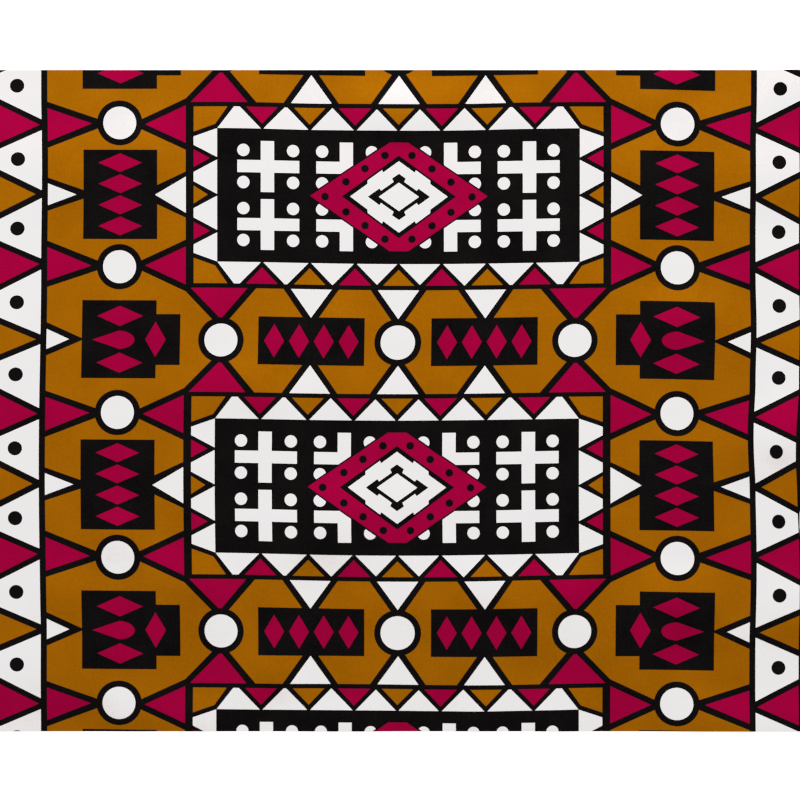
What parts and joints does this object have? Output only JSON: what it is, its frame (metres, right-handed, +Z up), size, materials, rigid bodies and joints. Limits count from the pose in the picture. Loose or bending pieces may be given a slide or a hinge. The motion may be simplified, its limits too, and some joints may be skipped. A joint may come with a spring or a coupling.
{
  "type": "wax print cotton cloth length",
  "caption": "Flat length of printed cotton cloth with plain selvedges, for sewing, wrapping or covering.",
  "frame": {"origin": "on the surface the cloth lies on, under the middle of the cloth", "axes": "+X across the cloth along the weft, +Y up the cloth along the warp, +Z up from the printed face"},
  "size_m": [1.1472, 0.9144, 0.0051],
  "materials": {
    "printed_cotton": "matte",
    "bare_cotton": "matte"
  },
  "bodies": {
    "root": {"printed_web": "printed_cotton", "selvedge_left": "bare_cotton", "selvedge_right": "bare_cotton"}
  },
  "joints": []
}
